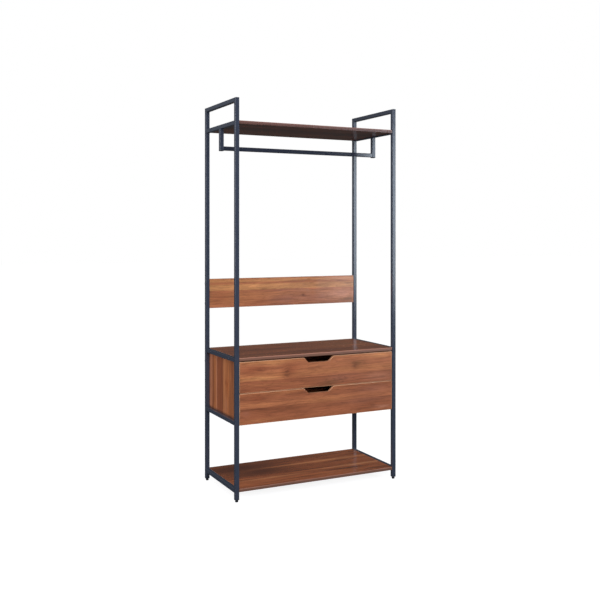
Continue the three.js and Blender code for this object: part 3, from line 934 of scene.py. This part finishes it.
for level, wood in zip(LEVELS, (LOWER_WOOD, UPPER_WOOD)):
    body = f"{level}_drawer"
    drawer_front(level, wood)
    for part in ("left_side", "right_side", "back"):
        dress(f"{level}_drawer_{part}", INNER_WOOD_PAINTED_SHADE, 0.4 * MM)
    dress(f"{level}_drawer_bottom", DRAWER_SHEET_PAINTED_SHADE, 0.2 * MM)

    side_box_low, side_box_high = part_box(f"{level}_drawer_right_side")
    middle_z = (side_box_low.z + side_box_high.z) / 2
    rear_y = side_box_high.y - SCREW_FROM_REAR
    screws = bmesh.new()
    cams = bmesh.new()
    for side, sign in SIDES:
        outer = sign * side_box_high.x
        inner = sign * side_box_low.x
        for dz in (-SCREW_SPREAD, SCREW_SPREAD):
            cross_screw(screws, (outer, rear_y, middle_z + dz), (sign, 0, 0), 3.2 * MM, 0.9 * MM)
        for dz in (-CAM_SPREAD, CAM_SPREAD):
            cam_cap(cams, (inner, side_box_low.y + CAM_IN, middle_z + dz), (-sign, 0, 0))
    make_piece(f"{level}_drawer_screws", screws, [SCREW], body)
    make_piece(f"{level}_drawer_cams", cams, [SCREW], body)

    for side, sign in SIDES:
        for part, owner in (("cabinet", "root"), ("drawer", body)):
            dress(f"{level}_{side}_{part}_runner", RUNNER, 0.15 * MM)
            dress(f"{level}_{side}_{part}_roller", NYLON)
            low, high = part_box(f"{level}_{side}_{part}_runner")
            face = low.x if (part == "cabinet") == (side == "left") else high.x
            web = face - sign * (WEB_STEEL if part == "cabinet" else WEB_IN + WEB_STEEL)
            screws = bmesh.new()
            for share in SCREW_SHARES:
                place = (web, low.y + share * (high.y - low.y), (low.z + high.z) / 2)
                cross_screw(screws, place, (-sign, 0, 0), 3.0 * MM, 0.7 * MM)
            make_piece(f"{level}_{side}_{part}_runner_screws", screws, [SCREW], owner)

# ---------------------------------------------------------------- metal frames

BOLTED_RAILS = ("shelf_rail", "unit_top_rail", "unit_bottom_rail", "base_rail")
WELDED_RAILS = ("top_rail", *BOLTED_RAILS)
TUBES = ("front_post", "rear_post", "rod_drop", *WELDED_RAILS)
BEAD_FROM_SIDE = 2 * MM
POST_BOLTS = (back_high.z - 22 * MM, back_low.z + 24 * MM, unit_top_low.z - 47 * MM)
RAIL_BOLT_Y = 0.12
CAP_THICKNESS = 3 * MM
CAP_EASE = 1.4 * MM

dress("hanging_rod", ROD_METAL_PAINTED_SHADE)
for side, sign in SIDES:
    for tube in TUBES:
        dress(f"{side}_{tube}", METAL)
    front_low, front_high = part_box(f"{side}_front_post")
    rear_low, rear_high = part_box(f"{side}_rear_post")
    x_low, x_high = front_low.x + BEAD_FROM_SIDE, front_high.x - BEAD_FROM_SIDE
    outer_x = front_low.x if sign < 0 else front_high.x
    beads = bmesh.new()
    for rail in WELDED_RAILS:
        low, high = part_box(f"{side}_{rail}")
        ends = ((front_high.y, 1), (rear_low.y, -1))
        faces = ((low.z, -1),) if rail == "top_rail" else ((low.z, -1), (high.z, 1))
        for y, inward in ends:
            for z, up in faces:
                start, end = Vector((x_low, y, z)), Vector((x_high, y, z))
                weld_bead(beads, start, end, Vector((0, inward, 0)), Vector((0, 0, up)))
    drop_low, drop_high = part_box(f"{side}_rod_drop")
    for y, outward in ((drop_low.y, -1), (drop_high.y, 1)):
        start, end = Vector((x_low, y, drop_high.z)), Vector((x_high, y, drop_high.z))
        weld_bead(beads, start, end, Vector((0, outward, 0)), Vector((0, 0, -1)))
    make_piece(f"{side}_frame_welds", beads, [METAL], "root")

    bolts = bmesh.new()
    out = (sign, 0, 0)
    rear_y = (rear_low.y + rear_high.y) / 2
    for z in POST_BOLTS:
        button_bolt(bolts, (outer_x, rear_y, z), out, 5 * MM, 2.8 * MM, 2.3 * MM)
    for rail in BOLTED_RAILS:
        low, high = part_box(f"{side}_{rail}")
        for y in (-RAIL_BOLT_Y, RAIL_BOLT_Y):
            button_bolt(bolts, (outer_x, y, (low.z + high.z) / 2), out, 4.5 * MM, 1.2 * MM, 2.0 * MM)
    make_piece(f"{side}_frame_bolts", bolts, [METAL], "root")

    cap_low = Vector((drop_low.x, drop_low.y, drop_low.z - CAP_THICKNESS))
    cap_high = Vector((drop_high.x, drop_high.y, drop_low.z))
    cap = block(cap_low, cap_high, CAP_EASE)
    make_piece(f"{side}_drop_end_cap", cap, [BLACK_PLASTIC], "root")

# ---------------------------------------------------------------- feet

FOOT_SEGMENTS = 36
THREAD_PITCH = 1.25 * MM
THREAD_ROOT = 2.55 * MM
THREAD_CREST = 3.0 * MM
NUT_RINGS = (8, 9, 10)

for corner in CORNERS:
    dress(f"{corner}_foot_insert", BLACK_PLASTIC, 0.7 * MM, 60)
    low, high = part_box(f"{corner}_foot")
    centre = Matrix.Translation(((low.x + high.x) / 2, (low.y + high.y) / 2, 0))
    pad = (high.x - low.x) / 2
    profile = [
        (0, 0.4 * MM),
        (0.55 * pad, 0.4 * MM),
        (0.62 * pad, 0),
        (0.86 * pad, 0),
        (0.96 * pad, 0.6 * MM),
        (pad, 1.6 * MM),
        (pad, 6.0 * MM),
        (0.95 * pad, 6.8 * MM),
        (0.80 * pad, 7.2 * MM),
        (0.80 * pad, 9.6 * MM),
        (0.74 * pad, 10.0 * MM),
        (THREAD_CREST, 10.0 * MM),
    ]
    z = 10.4 * MM
    while z < high.z - THREAD_PITCH:
        profile += [(THREAD_ROOT, z), (THREAD_CREST, z + THREAD_PITCH / 2)]
        z += THREAD_PITCH
    profile += [(2.4 * MM, high.z), (0, high.z)]
    bm = bmesh.new()
    revolve(
        bm,
        profile,
        FOOT_SEGMENTS,
        centre,
        lambda index, turn, r: hexagon(r, turn) if index in NUT_RINGS else r,
    )
    foot = f"{corner}_foot"
    make_piece(f"{corner}_levelling_foot", bm, [BLACK_PLASTIC], foot, [foot])

# ---------------------------------------------------------------- small fixings

FROM_SIDE = 9 * MM
FROM_BOTTOM = 6 * MM
BOTTOM_SPACES = 8
SIDE_SPACES = 4
CAM_FROM_END = 50 * MM

panel_low, panel_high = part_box("unit_back_panel")
first_x, last_x = panel_low.x + FROM_SIDE, panel_high.x - FROM_SIDE
screw_places = []
for i in range(BOTTOM_SPACES + 1):
    x = first_x + i * (last_x - first_x) / BOTTOM_SPACES
    screw_places.append((x, panel_high.y, panel_low.z + FROM_BOTTOM))
for i in range(1, SIDE_SPACES):
    z = panel_low.z + i * (panel_high.z - panel_low.z) / SIDE_SPACES
    screw_places += [(first_x, panel_high.y, z), (last_x, panel_high.y, z)]
panel_screws = bmesh.new()
for place in screw_places:
    cross_screw(panel_screws, place, (0, 1, 0), 2.6 * MM, 0.6 * MM)
make_piece("unit_back_panel_screws", panel_screws, [SCREW], "root")

bottom_low, bottom_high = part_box("unit_bottom_panel")
cams = bmesh.new()
for _, sign in SIDES:
    for y in (bottom_low.y + CAM_FROM_END, bottom_high.y - CAM_FROM_END):
        cam_cap(cams, (sign * (bottom_high.x - CAM_IN), y, bottom_low.z), (0, 0, -1))
make_piece("unit_bottom_cams", cams, [SCREW], "root")

# ---------------------------------------------------------------- stage, light and camera

FLOOR_REACH = 30.0
SHADED_WITHIN = 1.2
BACKDROP_FROM = 4.5
FLOOR_NEAR = (0.26, 0.26, 0.27)
FLOOR_FAR = (0.02, 0.02, 0.02)


def pale_floor():
    """White floor: softly shaded round the stand, as bright as the backdrop further out, and see-through
    from below."""
    g = Graph("pale_floor")
    x, y, _ = g.axes()
    away = g.math("SQRT", g.math("MULTIPLY_ADD", x, x, g.math("MULTIPLY", y, y)))
    far = g.span(away, SHADED_WITHIN, BACKDROP_FROM, smooth=True)
    fine = g.noise(g.point, scale=3.0, detail=3.0)
    g.set(
        Base_Color=g.scale_colour(g.mix(far, FLOOR_NEAR, FLOOR_FAR), around(g, fine, 0.04)),
        Roughness=0.9,
        Specular_IOR_Level=0.0,
        Emission_Color=(1.0, 1.0, 1.0, 1.0),
        Emission_Strength=g.span(far, 0.0, 1.0, 0.88, 1.0),
    )
    geometry = g.add("ShaderNodeNewGeometry")
    see_through = g.add("ShaderNodeBsdfTransparent")
    either = g.add("ShaderNodeMixShader")
    g.tree.links.new(geometry.outputs["Backfacing"], either.inputs[0])
    g.tree.links.new(g.shader.outputs[0], either.inputs[1])
    g.tree.links.new(see_through.outputs[0], either.inputs[2])
    g.tree.links.new(either.outputs[0], g.output.inputs["Surface"])
    return g.material


floor_mesh = bpy.data.meshes.new("floor")
floor_corners = [(FLOOR_REACH * x, FLOOR_REACH * y, 0) for x, y in ((-1, -1), (1, -1), (1, 1), (-1, 1))]
floor_mesh.from_pydata(floor_corners, [], [(0, 1, 2, 3)])
floor_mesh.materials.append(pale_floor())
floor = bpy.data.objects.new("floor", floor_mesh)
bpy.context.scene.collection.objects.link(floor)
floor.visible_diffuse = False
floor.visible_glossy = False
floor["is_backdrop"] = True


WHITE = (1.0, 1.0, 1.0)
COOL_WHITE = (0.90, 0.96, 1.0)
SKY_BLUE = (0.80, 0.90, 1.0)


def studio_world():
    """A white backdrop for the eye, and a dim surround for the light, brighter overhead and on the left."""
    world = bpy.data.worlds.new("studio")
    world.use_nodes = True
    tree = world.node_tree
    tree.nodes.clear()

    def add(kind, **settings):
        node = tree.nodes.new(kind)
        for key, value in settings.items():
            setattr(node, key, value)
        return node

    def span(value, *limits):
        node = add("ShaderNodeMapRange", interpolation_type="SMOOTHSTEP")
        tree.links.new(value, node.inputs[0])
        for limit, socket in zip(limits, list(node.inputs)[1:5]):
            socket.default_value = limit
        return node.outputs[0]

    def combine(operation, a, b):
        node = add("ShaderNodeMath", operation=operation)
        tree.links.new(a, node.inputs[0])
        tree.links.new(b, node.inputs[1])
        return node.outputs[0]

    direction = add("ShaderNodeSeparateXYZ")
    tree.links.new(add("ShaderNodeTexCoord").outputs["Generated"], direction.inputs[0])
    x, _, z = direction.outputs
    overhead = span(z, 0.25, 1.0, 0.06, 0.30)
    left = span(x, 0.05, -0.35, 0.0, 0.20)
    level = span(z, -0.12, 0.06, 0.0, 1.0)
    strength = combine("ADD", overhead, combine("MULTIPLY", left, level))

    output = add("ShaderNodeOutputWorld")
    mixer = add("ShaderNodeMixShader")
    surround = add("ShaderNodeBackground")
    backdrop = add("ShaderNodeBackground")
    surround.inputs["Color"].default_value = (*COOL_WHITE, 1.0)
    backdrop.inputs["Color"].default_value = (*WHITE, 1.0)
    tree.links.new(strength, surround.inputs["Strength"])
    tree.links.new(add("ShaderNodeLightPath").outputs["Is Camera Ray"], mixer.inputs[0])
    tree.links.new(surround.outputs[0], mixer.inputs[1])
    tree.links.new(backdrop.outputs[0], mixer.inputs[2])
    tree.links.new(mixer.outputs[0], output.inputs["Surface"])
    bpy.context.scene.world = world


studio_world()


def softbox(name, place, target, size, watts, colour=WHITE, mirrored=True):
    """A rectangular studio light that the camera doesn't see. Glossy faces mirror it only if asked to."""
    light = bpy.data.lights.new(name, "AREA")
    light.shape = "RECTANGLE"
    light.size, light.size_y = size
    light.energy = watts
    light.color = colour
    obj = bpy.data.objects.new(name, light)
    obj.location = place
    direction = Vector(target) - Vector(place)
    obj.rotation_euler = direction.to_track_quat("-Z", "Y").to_euler()
    obj.visible_camera = False
    obj.visible_glossy = mirrored
    bpy.context.scene.collection.objects.link(obj)


softbox("key_light", (-1.3, -4.2, 2.3), (0, 0, 0.9), size=(2.6, 2.2), watts=185.0, mirrored=False)
softbox("side_light", (-4.2, -0.8, 1.6), (0, 0, 0.8), size=(2.2, 2.0), watts=95.0)
softbox("back_light", (3.4, 3.6, 2.4), (0, 0, 0.9), size=(2.4, 2.2), watts=90.0, mirrored=False)
softbox("strip_light", (2.58, -2.87, 1.42), (0.46, 0.03, 1.42), (0.8, 1.55), watts=44.0, colour=SKY_BLUE)

CAMERA_PLACE = (-1.8616, -3.7399, 1.2093)
CAMERA_PITCH = math.radians(90)
CAMERA_YAW = math.radians(-26.43)
LENS_MM = 50.99
SENSOR_MM = 36.0
LENS_SHIFT = -0.1114
NEAREST, FARTHEST = 0.05, 60.0

camera_data = bpy.data.cameras.new("camera")
camera_data.lens = LENS_MM
camera_data.sensor_width = SENSOR_MM
camera_data.shift_y = LENS_SHIFT
camera_data.clip_start = NEAREST
camera_data.clip_end = FARTHEST
camera = bpy.data.objects.new("camera", camera_data)
camera.location = CAMERA_PLACE
camera.rotation_euler = (CAMERA_PITCH, 0, CAMERA_YAW)
bpy.context.scene.collection.objects.link(camera)
bpy.context.scene.camera = camera

view = bpy.context.scene.view_settings
view.view_transform = "Standard"
view.look = "None"

low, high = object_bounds()
